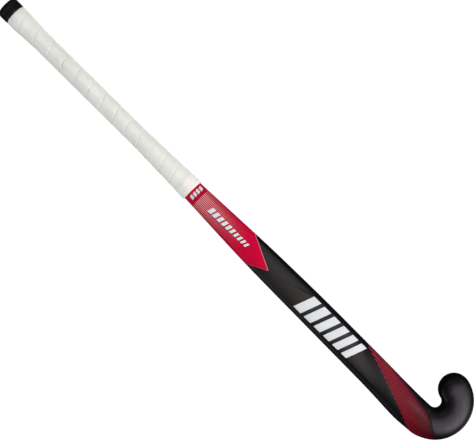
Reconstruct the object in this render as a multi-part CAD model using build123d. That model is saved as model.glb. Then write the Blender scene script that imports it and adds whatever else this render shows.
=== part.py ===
"""Field hockey stick: a moulded composite stick with a wrapped handle.

Frame: the handle stands on the Z axis with +Z towards the butt end, the toe of the head points to +X,
and the flat playing face looks to +Y. The origin is the middle of the straight, round part of the grip.
All sizes are in millimetres.

A "height" is measured along the middle line of the stick, from the lowest point of the head. Below the
handle that line leans towards +Y, which gives the stick its bow.
"""

import math
import os
from functools import lru_cache

from build123d import *

# Lengths along the stick, as heights above the lowest point of the head
CAP_TOP = 929.0
HANDLE_TOP = 911.0
GRIP_TOP = 909.0
SKIRT_BOTTOM = 850.0
SKIRT_FULL = 902.0
GRIP_STRAIGHT_TOP = 838.0
GRIP_STRAIGHT_BOTTOM = 656.0
TAPE_TOP = 556.0
TAPE_BOTTOM = 537.5
GRIP_BOTTOM = 539.5
LABEL_BOTTOM = 521.0
PLUG_BOTTOM = 866.0
HEAD_CORE_TOP = 150.0

# Bow: the middle line leaves the handle axis at BOW_TOP and turns steadily until it is straight again
BOW_TOP = 520.0
BOW_BOTTOM = 150.0
BOW_ANGLE = math.radians(7.3)
BOW_RADIUS = (BOW_TOP - BOW_BOTTOM) / BOW_ANGLE

# Handle: round from its top down to where it starts to widen
HANDLE_RADIUS = 13.0

# Head: the section turns about a point beside the shaft and ends in a half-round toe
BEND_CENTRE_X = 30.9
BEND_OUTER = 57.6
BEND_INNER = 9.4
BEND_EVEN = 30.0  # degrees into the bend from which its section no longer changes
BEND_END = 168.0  # degrees into the bend at which the toe begins

# Sections along the stick: height, reach to -X, reach to +X, depth to the face, depth to the back,
# and how square the face side and the back side are (2 is an ellipse)
STATIONS = (
    (BEND_OUTER, 28.1, 21.1, 10.0, 15.0, 6.0, 2.4),
    (86.0, 29.9, 20.4, 10.0, 14.4, 6.0, 2.4),
    (140.0, 27.5, 21.0, 9.8, 13.2, 6.0, 2.4),
    (180.0, 26.5, 21.5, 9.2, 12.6, 6.0, 2.5),
    (283.0, 24.8, 22.3, 9.0, 12.2, 6.0, 2.5),
    (390.0, 22.9, 21.0, 9.6, 12.4, 5.4, 2.4),
    (444.0, 20.9, 19.2, 10.3, 12.6, 4.6, 2.3),
    (540.0, 16.2, 15.6, 11.8, 13.0, 3.0, 2.1),
    (600.0, 14.5, 14.3, 12.6, 13.0, 2.3, 2.0),
    (650.0, *[HANDLE_RADIUS] * 4, 2.0, 2.0),
    (HANDLE_TOP, *[HANDLE_RADIUS] * 4, 2.0, 2.0),
)
HEAD_SECTION = (BEND_OUTER - BEND_CENTRE_X, BEND_CENTRE_X - BEND_INNER, 10.0, 15.0, 6.0, 2.4)
SECTION_STEP = 36.0  # largest distance between two sections of the loft
OUTLINE_STEP = 10  # degrees between the points of an outline
FACE_PLANE = 9.6  # depth to which the playing face is ground flat
FACE_PLANE_TOP = 172.0
LINE_STEP = 60  # distance between the points of a curve along the middle line

# Layers, as distances in from the outside of the stick
SHELL_WALL = 2.2
LINER_WALL = 1.0
HEAD_WRAP_WALL = 1.6
WEB_WALL = 1.5
WEB_X = -1.0

# Grip and end cap
UNDERLAY_WALL = 0.4
SKIRT_RISE = 2.2
WRAP_WALL = 1.6
GRIP_RADIUS = 14.9
TAPE_WALL = 0.25
CAP_RADIUS = 17.3
CAP_EDGE = 5.0
STEM_RADIUS = 5.0
STEM_LENGTH = 30.0

# Printed films
FILM = 0.15
FILM_GAP = 2.5  # bare laminate between two films
EDGE_X = 32.0  # beyond both sides of the shaft
PANEL_TIP = (-5.7, 374.8)
PANEL_SLOPE_TOE = 2.06  # rise of the point's edges for each millimetre of x
PANEL_SLOPE_HEEL = 1.86
FACET_HEEL_X = -17.3
FACET_TOE_X = 15.8
STRIPE_START_HEIGHT = 138.0
STRIPE_SLOPE = 2.9
STRIPE_END = ((-13.0, 8.0), (2.0, 32.0), (12.0, 58.0), (17.0, 92.0), (22.5, 140.0))
EMBLEM = dict(
    count=6, centre_x=-1.2, width=32.0, top=299.0, depth=15.0, gap=6.5, shrink=0.94, narrow=1.0, rise=-12.0
)
PANEL_MARK = dict(
    count=10, centre_x=-1.6, width=10.0, top=497.0, depth=6.6, gap=2.9, shrink=0.94, narrow=0.96, rise=-3.0
)
LABEL_MARK = dict(count=1, width=4.2, top=534.2, depth=6.6, gap=0.0, shrink=1.0, narrow=1.0, rise=1.6)
LABEL_MARK_CENTRES = (-7.6, -1.6, 4.4, 10.4)

# Sizes of the blocks that cut the stick up
FAR = 80.0  # past the stick in any direction across it
WIDE = 2 * FAR
TALL = 2 * CAP_TOP
OVERLAP = 1.0  # how far two shapes reach into each other where they are fused

ORIGIN_HEIGHT = (GRIP_STRAIGHT_TOP + GRIP_STRAIGHT_BOTTOM) / 2


def middle_line(height):
    """Return y, z and the lean (radians) of the middle line at a height."""
    if height >= BOW_TOP:
        return 0.0, height - ORIGIN_HEIGHT, 0.0
    along = min(BOW_TOP - height, BOW_TOP - BOW_BOTTOM)
    lean = along / BOW_RADIUS
    beyond = max(BOW_BOTTOM - height, 0.0)
    y = BOW_RADIUS * (1 - math.cos(lean)) + beyond * math.sin(lean)
    z = BOW_TOP - ORIGIN_HEIGHT - BOW_RADIUS * math.sin(lean) - beyond * math.cos(lean)
    return y, z, lean


def plane_at(height):
    """Plane across the stick at a height: its x runs to +X, its y to the face, its z to the butt."""
    y, z, lean = middle_line(height)
    return Plane(origin=(0, y, z), x_dir=(1, 0, 0), z_dir=(0, -math.sin(lean), math.cos(lean)))


HEAD_FRAME = plane_at(0.0)


def bend_plane(angle):
    """Plane across the head at an angle (degrees) into the bend, on the line that the handle axis makes."""
    turn = math.radians(angle)
    inward = (math.cos(turn), 0, math.sin(turn))
    back_up = (-math.sin(turn), 0, math.cos(turn))
    start = (BEND_CENTRE_X * (1 - inward[0]), 0, BEND_OUTER - BEND_CENTRE_X * inward[2])
    return Plane(
        origin=HEAD_FRAME.from_local_coords(start),
        x_dir=Vector(*inward).transform(HEAD_FRAME.reverse_transform, is_direction=True),
        z_dir=Vector(*back_up).transform(HEAD_FRAME.reverse_transform, is_direction=True),
    )


def ease(low, high, value):
    """Rise smoothly from 0 at low to 1 at high."""
    part = min(max((value - low) / (high - low), 0.0), 1.0)
    return part * part * (3 - 2 * part)


def slopes(column):
    """Slope of one station column at each station, from its neighbours."""
    found = []
    for i in range(len(STATIONS)):
        before = STATIONS[max(i - 1, 0)]
        after = STATIONS[min(i + 1, len(STATIONS) - 1)]
        found.append((after[column] - before[column]) / (after[0] - before[0]))
    found[-2] = 0.0  # the handle is straight
    found[-1] = 0.0
    return found


SLOPES = [slopes(column) for column in range(1, 7)]


def section_at(height):
    """Interpolate the station columns at a height with a smooth cubic."""
    upper = next(i for i, station in enumerate(STATIONS) if station[0] >= height - 1e-9 and i > 0)
    low, high = STATIONS[upper - 1], STATIONS[upper]
    span = high[0] - low[0]
    t = (height - low[0]) / span
    values = []
    for column in range(1, 7):
        start_slope = SLOPES[column - 1][upper - 1] * span
        end_slope = SLOPES[column - 1][upper] * span
        values.append(
            low[column] * (1 + 2 * t) * (1 - t) ** 2
            + high[column] * t * t * (3 - 2 * t)
            + start_slope * t * (1 - t) ** 2
            - end_slope * t * t * (1 - t)
        )
    return values


def bend_section(angle):
    """Section in the first degrees of the bend, where the shaft's section turns into the head's."""
    share = ease(0.0, BEND_EVEN, angle)
    return [a + (b - a) * share for a, b in zip(section_at(STATIONS[0][0]), HEAD_SECTION)]


def half_edge(section, inset, side):
    """Half of a section outline, on the -X side (side -1) or the +X side (side 1), from back to face.

    Each quarter is a superellipse. All the outlines share one set of parameters, so that lofts stay light.
    """
    left, right, face, back, face_power, back_power = section
    middle = (right - left) / 2
    half_width = (left + right) / 2 - inset
    points = []
    for degrees in range(-90, 91, OUTLINE_STEP):
        across, along = math.cos(math.radians(degrees)), math.sin(math.radians(degrees))
        depth, power = (face - inset, face_power) if degrees > 0 else (back - inset, back_power)
        size = (abs(across) ** power + abs(along) ** power) ** (-1 / power)
        points.append(Vector(middle + side * half_width * across * size, depth * along * size))
    shares = [i / (len(points) - 1) for i in range(len(points))]
    return Edge.make_spline(points, tangents=[Vector(side, 0), Vector(-side, 0)], parameters=shares)


def outline(section, inset):
    """Closed outline of a section, as two mirrored halves."""
    return Wire([half_edge(section, inset, -1), half_edge(section, inset, 1)])


def section_heights(low, high):
    """Station heights between two limits, with more between them where they are far apart."""
    marks = [low] + [s[0] for s in STATIONS if low < s[0] < high] + [high]
    heights = [low]
    for start, end in zip(marks, marks[1:]):
        count = math.ceil((end - start) / SECTION_STEP)
        heights += [start + (end - start) * i / count for i in range(1, count + 1)]
    return heights


@lru_cache
def shaft(inset):
    """The stick above the even part of the bend, lofted and moved in from its outside by inset."""
    wires = []
    for angle in (BEND_EVEN, BEND_EVEN * 2 / 3, BEND_EVEN / 3):
        wires.append(bend_plane(angle).from_local_coords(outline(bend_section(angle), inset)))
    for height in section_heights(STATIONS[0][0], HANDLE_TOP):
        wires.append(plane_at(height).from_local_coords(outline(section_at(height), inset)))
    return Solid.make_loft(wires)


def turn_axis(x, z):
    """Axis across the head through a point of the head's own frame, turning the shaft into the toe."""
    return Axis(
        HEAD_FRAME.from_local_coords((x, 0, z)),
        Vector(0, -1, 0).transform(HEAD_FRAME.reverse_transform, is_direction=True),
    )


@lru_cache
def head(inset):
    """The even part of the bend and the round toe."""
    face = Face(bend_plane(BEND_EVEN).from_local_coords(outline(HEAD_SECTION, inset)))
    bend = Solid.revolve(face, BEND_END - BEND_EVEN, turn_axis(BEND_CENTRE_X, BEND_OUTER))

    left, right, face_depth, back_depth = HEAD_SECTION[:4]
    middle = (right - left) / 2
    half = half_edge(HEAD_SECTION, inset, -1)
    spine = Edge.make_line((middle, face_depth - inset), (middle, inset - back_depth))
    toe_plane = bend_plane(BEND_END)
    toe_face = Face(toe_plane.from_local_coords(Wire([half, spine])))
    toe_axis = Axis(toe_plane.from_local_coords((middle, 0)), turn_axis(0, 0).direction)
    toe = Solid.revolve(toe_face, 180, toe_axis)
    return joined(bend, toe)


@lru_cache
def body(inset):
    """The whole stick from the toe to the top of the handle."""
    return joined(shaft(inset), head(inset))


def whole(result):
    """One solid, or a group where a piece is in several."""
    solids = result.solids()
    return solids[0] if len(solids) == 1 else Compound(solids)


def inside(shape, region):
    """What a shape and a region share."""
    return whole(shape.intersect(region))


def less(shape, *others):
    """A shape with others cut out of it."""
    return whole(shape.cut(*others))


def joined(shape, *others):
    """A shape fused with others."""
    return whole(shape.fuse(*others))


def slab(low, high):
    """Everything between two heights."""
    above_low = Solid.make_box(WIDE, WIDE, TALL).moved(Location((-FAR, -FAR, 0)))
    below_high = Solid.make_box(WIDE, WIDE, TALL).moved(Location((-FAR, -FAR, -TALL)))
    return inside(above_low.moved(plane_at(low).location), below_high.moved(plane_at(high).location))


def round_bar(radius, low, high):
    """Round bar on the handle axis between two heights."""
    base = Plane(origin=(0, 0, low - ORIGIN_HEIGHT))
    return Solid.make_cylinder(radius, high - low, base)


@lru_cache
def grip_seat(extra):
    """Outside of the end cap's skirt and of the underlay below it, moved out by extra."""
    wires = []
    for height in section_heights(GRIP_BOTTOM - SECTION_STEP, HANDLE_TOP):
        out = UNDERLAY_WALL + SKIRT_RISE * ease(SKIRT_BOTTOM, SKIRT_FULL, height) + extra
        wires.append(plane_at(height).from_local_coords(outline(section_at(height), -out)))
    return Solid.make_loft(wires)


def prism(points):
    """Everything in front of and behind an outline given as x and height."""
    corners = [Vector(x, -FAR, middle_line(height)[1]) for x, height in points]
    return Solid.extrude(Face(Wire.make_polygon(corners)), Vector(0, WIDE, 0))


@lru_cache
def behind():
    """Everything on the back of the middle line."""
    heights = range(-int(FAR), int(CAP_TOP), LINE_STEP)
    line = Edge.make_spline([Vector(0, *middle_line(height)[:2]) for height in heights])
    corners = [line @ 1, Vector(0, -FAR, (line @ 1).Z), Vector(0, -FAR, (line @ 0).Z), line @ 0]
    rest = [Edge.make_line(a, b) for a, b in zip(corners, corners[1:])]
    face = Face(Wire([line, *rest])).moved(Location((-FAR, 0, 0)))
    return Solid.extrude(face, Vector(WIDE, 0, 0))


def film_over(region):
    """Printed film on the outside of the stick, as far as a region reaches."""
    return less(inside(body(-FILM), region), body(0.0))


def bars(count, centre_x, width, top, depth, gap, shrink, narrow, rise):
    """Outlines of a column of slanted bars, each shorter and narrower than the one above."""
    found = []
    for _ in range(count):
        half = width / 2
        found.append(
            [
                (centre_x - half, top - rise),
                (centre_x + half, top),
                (centre_x + half, top - depth),
                (centre_x - half, top - rise - depth),
            ]
        )
        top -= depth + gap
        depth *= shrink
        width *= narrow
    return found


def end_cap():
    """Moulded rubber cap: a thick rounded end, a skirt under the wrap and a stem in the plug."""
    end = round_bar(CAP_RADIUS, GRIP_TOP, CAP_TOP)
    rim = end.edges().filter_by(GeomType.CIRCLE).sort_by(Axis.Z)[-1]
    end = end.fillet(CAP_EDGE, [rim])
    skirt = inside(grip_seat(0.0), slab(SKIRT_BOTTOM, GRIP_TOP + OVERLAP))
    stem = round_bar(STEM_RADIUS, HANDLE_TOP - STEM_LENGTH, HANDLE_TOP + OVERLAP)
    return joined(less(joined(end, skirt), body(0.0)), stem)


def butt_plug():
    """Cork-rubber damper bonded into the open end of the handle, bored for the cap's stem."""
    space = body(SHELL_WALL + LINER_WALL)
    bore = round_bar(STEM_RADIUS, HANDLE_TOP - STEM_LENGTH, HANDLE_TOP + OVERLAP)
    return less(inside(space, slab(PLUG_BOTTOM, CAP_TOP)), bore)


def grip_underlay():
    """Thin adhesive layer between the handle and the wrap, up to the cap's skirt."""
    return less(inside(grip_seat(0.0), slab(GRIP_BOTTOM, SKIRT_BOTTOM)), body(0.0))


def grip_wrap():
    """Cushioned wrap over the underlay and the skirt, with its hand length truly round."""
    sleeve = less(inside(grip_seat(WRAP_WALL), slab(GRIP_BOTTOM, GRIP_TOP)), grip_seat(0.0))
    waste = round_bar(FAR, GRIP_STRAIGHT_BOTTOM, GRIP_STRAIGHT_TOP)
    return less(sleeve, less(waste, round_bar(GRIP_RADIUS, 0, CAP_TOP)))


def finishing_tape():
    """Tape round the lower end of the wrap, closing it onto the shaft."""
    outside = inside(grip_seat(WRAP_WALL + TAPE_WALL), slab(TAPE_BOTTOM, TAPE_TOP))
    wrapped = inside(grip_seat(WRAP_WALL), slab(GRIP_BOTTOM, CAP_TOP))
    return less(outside, wrapped, body(0.0))


def carbon_shell():
    """Outer laminate of the whole stick, its playing face ground flat along the head."""
    shell = less(body(0.0), body(SHELL_WALL))
    waste = Solid.make_box(WIDE, FAR, FACE_PLANE_TOP + FAR)
    waste = waste.moved(Location((-FAR, FACE_PLANE, -FAR)))
    return less(shell, waste.moved(HEAD_FRAME.location))


def glass_liner():
    """Inner glass-fibre layer that the cores are moulded against."""
    return less(body(SHELL_WALL), body(SHELL_WALL + LINER_WALL))


def head_wrap():
    """Aramid layer that backs the liner in the head and the lowest part of the shaft."""
    below = slab(-FAR, HEAD_CORE_TOP)
    outer = inside(body(SHELL_WALL + LINER_WALL), below)
    return less(outer, body(SHELL_WALL + LINER_WALL + HEAD_WRAP_WALL))


def head_core():
    """Dense moulded core of the head."""
    return inside(body(SHELL_WALL + LINER_WALL + HEAD_WRAP_WALL), slab(-FAR, HEAD_CORE_TOP))


def shaft_space(x_low, x_high):
    """The space inside the liner between the head core and the plug, from one x to another."""
    space = inside(body(SHELL_WALL + LINER_WALL), slab(HEAD_CORE_TOP, PLUG_BOTTOM))
    box = Solid.make_box(x_high - x_low, WIDE, TALL)
    return inside(space, box.moved(Location((x_low, -FAR, -CAP_TOP))))


def centre_web():
    """Wall that divides the space in the shaft into two chambers along its length."""
    return shaft_space(WEB_X - WEB_WALL / 2, WEB_X + WEB_WALL / 2)


def heel_side_core():
    """Foam in the chamber on the heel side."""
    return shaft_space(-FAR, WEB_X - WEB_WALL / 2)


def toe_side_core():
    """Foam in the chamber on the toe side."""
    return shaft_space(WEB_X + WEB_WALL / 2, FAR)


def label_film():
    """Plain band of film all round the shaft, below the finishing tape."""
    return film_over(slab(LABEL_BOTTOM, TAPE_BOTTOM))


def panel_film():
    """Upper colour panel all round the shaft, ending in an off-centre point."""
    points = [
        (-EDGE_X, LABEL_BOTTOM),
        (EDGE_X, LABEL_BOTTOM),
        (EDGE_X, PANEL_TIP[1] + (EDGE_X - PANEL_TIP[0]) * PANEL_SLOPE_TOE),
        PANEL_TIP,
        (-EDGE_X, PANEL_TIP[1] + (EDGE_X + PANEL_TIP[0]) * PANEL_SLOPE_HEEL),
    ]
    return film_over(prism(points))


def facet_film():
    """Dark band on the back, from the panel's point to the lower stripes."""
    tip = (PANEL_TIP[0], PANEL_TIP[1] - FILM_GAP)
    points = [
        (FACET_HEEL_X, tip[1] + (tip[0] - FACET_HEEL_X) * PANEL_SLOPE_HEEL),
        tip,
        (FACET_TOE_X, tip[1] + (FACET_TOE_X - tip[0]) * PANEL_SLOPE_TOE),
        (FACET_TOE_X, stripe_start(FACET_TOE_X) + FILM_GAP),
        (FACET_HEEL_X, stripe_start(FACET_HEEL_X) + FILM_GAP),
    ]
    return film_over(inside(prism(points), behind()))


def stripe_start(x):
    """Height at which the lower stripes begin, on a slanting line."""
    return STRIPE_START_HEIGHT + x * STRIPE_SLOPE


def stripe_film():
    """Striped film that runs down into the head, round its heel side."""
    ends = [(x, middle_line(height)[1]) for x, height in STRIPE_END]
    end_line = Edge.make_spline([Vector(x, -FAR, z) for x, z in ends])
    outer = [(EDGE_X, STRIPE_END[-1][1]), (EDGE_X, stripe_start(EDGE_X)), (-EDGE_X, stripe_start(-EDGE_X))]
    corners = [Vector(x, -FAR, middle_line(height)[1]) for x, height in [*outer, (-EDGE_X, -FAR)]]
    corners = [end_line @ 1, *corners, end_line @ 0]
    rest = [Edge.make_line(a, b) for a, b in zip(corners, corners[1:])]
    region = Solid.extrude(Face(Wire([end_line, *rest])), Vector(0, WIDE, 0))
    return film_over(inside(region, behind()))


def films_over(outlines):
    """Films of several outlines on the back, laid over the films that are under them."""
    lifted = inside(less(body(-2 * FILM), body(-FILM)), behind())
    return Compound([inside(lifted, prism(points)) for points in outlines])


def emblem_film():
    """Column of bold slanted bars on the dark band."""
    return films_over(bars(**EMBLEM))


def mark_film():
    """Small slanted bars: a column on the panel and a row on the label."""
    outlines = bars(**PANEL_MARK)
    for centre_x in LABEL_MARK_CENTRES:
        outlines += bars(centre_x=centre_x, **LABEL_MARK)
    return films_over(outlines)


NODES = (
    end_cap,
    butt_plug,
    grip_underlay,
    grip_wrap,
    finishing_tape,
    carbon_shell,
    glass_liner,
    head_wrap,
    head_core,
    centre_web,
    heel_side_core,
    toe_side_core,
    label_film,
    panel_film,
    facet_film,
    stripe_film,
    emblem_film,
    mark_film,
)

os.makedirs("parts", exist_ok=True)
for node in NODES:
    export_step(node(), f"parts/{node.__name__}.step")
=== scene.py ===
"""Looks of the field hockey stick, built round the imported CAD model.

The outside of the stick is worked out here from the same sections as the CAD body, so that the wrap, the
tape and every printed film lie exactly on it. Lengths in the tables are millimetres, and MM turns them
into metres. A "height" is measured along the middle line of the stick from the lowest point of the head.
"""

import math

import bmesh
import bpy
from mathutils import Matrix, Vector, noise

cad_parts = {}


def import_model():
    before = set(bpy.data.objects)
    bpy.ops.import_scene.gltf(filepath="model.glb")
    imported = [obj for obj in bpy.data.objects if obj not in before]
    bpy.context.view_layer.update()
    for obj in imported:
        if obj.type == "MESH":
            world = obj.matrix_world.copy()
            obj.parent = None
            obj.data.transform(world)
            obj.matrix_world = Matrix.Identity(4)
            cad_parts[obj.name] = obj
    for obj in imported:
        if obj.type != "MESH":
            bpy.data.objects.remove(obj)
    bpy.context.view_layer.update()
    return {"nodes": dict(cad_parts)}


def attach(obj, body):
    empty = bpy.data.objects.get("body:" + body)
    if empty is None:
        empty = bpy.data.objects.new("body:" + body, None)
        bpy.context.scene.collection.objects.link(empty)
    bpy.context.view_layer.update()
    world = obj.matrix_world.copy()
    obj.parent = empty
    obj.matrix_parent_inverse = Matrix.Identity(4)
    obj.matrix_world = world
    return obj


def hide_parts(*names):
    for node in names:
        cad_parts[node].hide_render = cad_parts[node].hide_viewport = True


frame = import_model()
MM = 0.001

# Heights, as in the CAD
CAP_TOP = 929.0
HANDLE_TOP = 911.0
GRIP_TOP = 909.0
SKIRT_BOTTOM = 850.0
SKIRT_FULL = 902.0
GRIP_MIDDLE = 747.0
TAPE_TOP = 556.0
TAPE_BOTTOM = 537.5
GRIP_BOTTOM = 539.5
LABEL_BOTTOM = 521.0

# Bow of the shaft and bend of the head
BOW_TOP = 520.0
BOW_BOTTOM = 150.0
BOW_ANGLE = math.radians(7.3)
BOW_RADIUS = (BOW_TOP - BOW_BOTTOM) / BOW_ANGLE
BEND_CENTRE_X = 30.9
BEND_OUTER = 57.6
BEND_INNER = 9.4
BEND_EVEN = 30.0
BEND_END = 168.0
FACE_PLANE = 9.6
FACE_PLANE_TOP = 172.0
HANDLE_RADIUS = 13.0

# Sections: height, reach to -X and +X, depth to face and back, squareness of face and back
STATIONS = (
    (BEND_OUTER, 28.1, 21.1, 10.0, 15.0, 6.0, 2.4),
    (86.0, 29.9, 20.4, 10.0, 14.4, 6.0, 2.4),
    (140.0, 27.5, 21.0, 9.8, 13.2, 6.0, 2.4),
    (180.0, 26.5, 21.5, 9.2, 12.6, 6.0, 2.5),
    (283.0, 24.8, 22.3, 9.0, 12.2, 6.0, 2.5),
    (390.0, 22.9, 21.0, 9.6, 12.4, 5.4, 2.4),
    (444.0, 20.9, 19.2, 10.3, 12.6, 4.6, 2.3),
    (540.0, 16.2, 15.6, 11.8, 13.0, 3.0, 2.1),
    (600.0, 14.5, 14.3, 12.6, 13.0, 2.3, 2.0),
    (650.0, *[HANDLE_RADIUS] * 4, 2.0, 2.0),
    (HANDLE_TOP, *[HANDLE_RADIUS] * 4, 2.0, 2.0),
)
HEAD_SECTION = (BEND_OUTER - BEND_CENTRE_X, BEND_CENTRE_X - BEND_INNER, 10.0, 15.0, 6.0, 2.4)

# Films
EDGE_X = 32.0
PANEL_TIP = (-5.7, 374.8)
PANEL_SLOPE_TOE = 2.06
PANEL_SLOPE_HEEL = 1.86
FACET_HEEL_X = -17.3
FACET_TOE_X = 15.8
FILM_GAP = 2.5
STRIPE_START_HEIGHT = 138.0
STRIPE_SLOPE = 2.9
STRIPE_SAG = 7.0  # how far the middle of the stripes' upper edge lies below a straight line
STRIPE_SAG_REACH = 24  # x at which the sag has gone
STRIPE_EDGE_STEP = 6
STRIPE_FLOOR = -20.0  # below the head
STRIPE_END = ((-15.0, 8.0), (-2.0, 31.0), (12.0, 56.0), (17.5, 92.0), (22.5, 140.0))
STRIPE_BEND = 66.0  # degrees into the bend that the stripes may reach
PINSTRIPE_COUNT = 14
PINSTRIPE_X = -16.8
PINSTRIPE_PITCH = 2.4
PINSTRIPE_WIDTH = 0.85
PINSTRIPE_BOTTOM = 426.0
EMBLEM = dict(
    count=6, centre_x=-1.2, width=32.0, top=299.0, depth=15.0, gap=6.5, shrink=0.94, narrow=1.0, rise=-12.0
)
PANEL_MARK = dict(
    count=10, centre_x=-1.6, width=10.0, top=497.0, depth=6.6, gap=2.9, shrink=0.94, narrow=0.96, rise=-3.0
)
LABEL_MARK = dict(count=1, width=4.2, top=534.2, depth=6.6, gap=0.0, shrink=1.0, narrow=1.0, rise=1.6)
LABEL_MARK_CENTRES = (-7.6, -1.6, 4.4, 10.4)

# How far each printed layer stands off the stick, and how thick it is
FIRST_PRINT = 0.08
SECOND_PRINT = 0.13
SHADOW_PRINT = 0.15
THIRD_PRINT = 0.18
PRINT_WALL = 0.05

# Sampling of the surface
ROUND = 128  # points round a section, a multiple of 4
HEIGHT_STEP = 3.0
BEND_STEPS = 56


# ---- the stick's surface
def ease(low, high, value):
    """Rise smoothly from 0 at low to 1 at high."""
    part = min(max((value - low) / (high - low), 0.0), 1.0)
    return part * part * (3 - 2 * part)


def middle_line(height):
    """y, z and lean of the middle line at a height, in millimetres and radians."""
    if height >= BOW_TOP:
        return 0.0, height - GRIP_MIDDLE, 0.0
    along = min(BOW_TOP - height, BOW_TOP - BOW_BOTTOM)
    lean = along / BOW_RADIUS
    beyond = max(BOW_BOTTOM - height, 0.0)
    y = BOW_RADIUS * (1 - math.cos(lean)) + beyond * math.sin(lean)
    z = BOW_TOP - GRIP_MIDDLE - BOW_RADIUS * math.sin(lean) - beyond * math.cos(lean)
    return y, z, lean


def slopes(column):
    """Slope of one station column at each station, from its neighbours."""
    found = []
    for i in range(len(STATIONS)):
        before = STATIONS[max(i - 1, 0)]
        after = STATIONS[min(i + 1, len(STATIONS) - 1)]
        found.append((after[column] - before[column]) / (after[0] - before[0]))
    found[-2] = 0.0
    found[-1] = 0.0
    return found


SLOPES = [slopes(column) for column in range(1, 7)]


def section_at(height):
    """Section values at a height, by a smooth cubic between the stations."""
    height = min(max(height, STATIONS[0][0]), HANDLE_TOP)
    upper = next(i for i, station in enumerate(STATIONS) if station[0] >= height - 1e-9 and i > 0)
    low, high = STATIONS[upper - 1], STATIONS[upper]
    span = high[0] - low[0]
    t = (height - low[0]) / span
    values = []
    for column in range(1, 7):
        start_slope = SLOPES[column - 1][upper - 1] * span
        end_slope = SLOPES[column - 1][upper] * span
        values.append(
            low[column] * (1 + 2 * t) * (1 - t) ** 2
            + high[column] * t * t * (3 - 2 * t)
            + start_slope * t * (1 - t) ** 2
            - end_slope * t * t * (1 - t)
        )
    return values


def bend_section(angle):
    """Section at an angle (degrees) into the bend."""
    share = ease(0.0, BEND_EVEN, angle)
    return [a + (b - a) * share for a, b in zip(section_at(STATIONS[0][0]), HEAD_SECTION)]


def section_point(section, lift, turn, ground):
    """Local x and y on a section's outline; turn runs from the back by way of -X to the face and +X."""
    left, right, face, back, face_power, back_power = section
    across, along = -math.sin(turn), -math.cos(turn)
    depth, power = (face + lift, face_power) if along > 0 else (back + lift, back_power)
    size = (abs(across) ** power + abs(along) ** power) ** (-1 / power)
    x = (right - left) / 2 + ((left + right) / 2 + lift) * across * size
    y = depth * along * size
    if ground:
        y = min(y, FACE_PLANE + lift)
    return x, y


def head_point(x, y, height):
    """World point from x, y and height in the head's own leaning frame."""
    start_y, start_z, lean = middle_line(0.0)
    up = height * math.cos(lean) + y * math.sin(lean)
    return Vector((x, start_y + y * math.cos(lean) - height * math.sin(lean), start_z + up)) * MM


def shaft_point(height, lift, turn):
    """World point on the shaft at a height, moved out by lift."""
    x, y = section_point(section_at(height), lift, turn, height < FACE_PLANE_TOP)
    centre_y, centre_z, lean = middle_line(height)
    return Vector((x, centre_y + y * math.cos(lean), centre_z + y * math.sin(lean))) * MM


def bend_point(angle, lift, turn):
    """World point on the head at an angle (degrees) into the bend."""
    x, y = section_point(bend_section(angle), lift, turn, True)
    reach = x - BEND_CENTRE_X
    sweep = math.radians(angle)
    return head_point(BEND_CENTRE_X + reach * math.cos(sweep), y, BEND_OUTER + reach * math.sin(sweep))


def toe_point(step, lift, turn):
    """World point on the toe, step radians round its own centre from the end of the bend."""
    middle = (HEAD_SECTION[1] - HEAD_SECTION[0]) / 2
    x, y = section_point(HEAD_SECTION, lift, turn, True)
    end = math.radians(BEND_END)
    centre = middle - BEND_CENTRE_X
    reach = x - middle
    return head_point(
        BEND_CENTRE_X + centre * math.cos(end) + reach * math.cos(end + step),
        y,
        BEND_OUTER + centre * math.sin(end) + reach * math.sin(end + step),
    )


# ---- meshes
def turns(back_only):
    """Turns of the points of one row: the whole way round, or the back half from +X to -X."""
    if back_only:
        return [math.tau * i / ROUND for i in range(-ROUND // 4, ROUND // 4 + 1)]
    return [math.tau * i / ROUND for i in range(ROUND + 1)]


def running_length(points):
    """Distance along a line of points, at each point."""
    lengths = [0.0]
    for a, b in zip(points, points[1:]):
        lengths.append(lengths[-1] + (b - a).length)
    return lengths


def add_grid(bm, rows, start=0.0):
    """Faces between rows of points, with a UV map in metres: round each row, and from row to row."""
    uv = bm.loops.layers.uv.verify()
    made = [[bm.verts.new(point) for point in row] for row in rows]
    arcs = [running_length(row) for row in rows]
    middles = [sum(row, Vector()) / len(row) for row in rows]
    along = [start + length for length in running_length(middles)]
    for j in range(len(rows) - 1):
        for i in range(len(rows[0]) - 1):
            corners = ((j, i), (j, i + 1), (j + 1, i + 1), (j + 1, i))
            face = bm.faces.new([made[r][c] for r, c in corners])
            for loop, (r, c) in zip(face.loops, corners):
                loop[uv].uv = (arcs[r][c], along[r])
    return along[-1]


def weld(bm):
    """Join coincident points and turn every face outwards."""
    bmesh.ops.remove_doubles(bm, verts=bm.verts, dist=1e-6)
    bmesh.ops.recalc_face_normals(bm, faces=bm.faces)


def stick_rows(low, high, lift, around, bend):
    """Rows of surface points from some degrees into the bend, or from a height, up to another height."""
    steps = math.ceil(BEND_STEPS * bend / BEND_END)
    angles = [bend * i / steps for i in range(steps, 0, -1)]
    count = math.ceil((high - low) / HEIGHT_STEP)
    heights = [low + (high - low) * i / count for i in range(count + 1)]
    rows = [[bend_point(angle, lift, turn) for turn in around] for angle in angles]
    return rows + [[shaft_point(height, lift, turn) for turn in around] for height in heights]


def skin(low, high, lift, back_only=False, bend=0.0):
    """Surface of the stick between two heights, and on through some degrees of the bend."""
    bm = bmesh.new()
    add_grid(bm, stick_rows(low, high, lift, turns(back_only), bend))
    weld(bm)
    return bm


def on_plane(outline):
    """World x and z, in metres, of an outline given as x and height."""
    return [(x * MM, middle_line(height)[1] * MM) for x, height in outline]


def contains(outline, x, z):
    """Whether a point lies inside an outline, both seen along Y."""
    inside = False
    for (ax, az), (bx, bz) in zip(outline, outline[1:] + outline[:1]):
        if (az > z) != (bz > z) and x < ax + (bx - ax) * (z - az) / (bz - az):
            inside = not inside
    return inside


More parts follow.
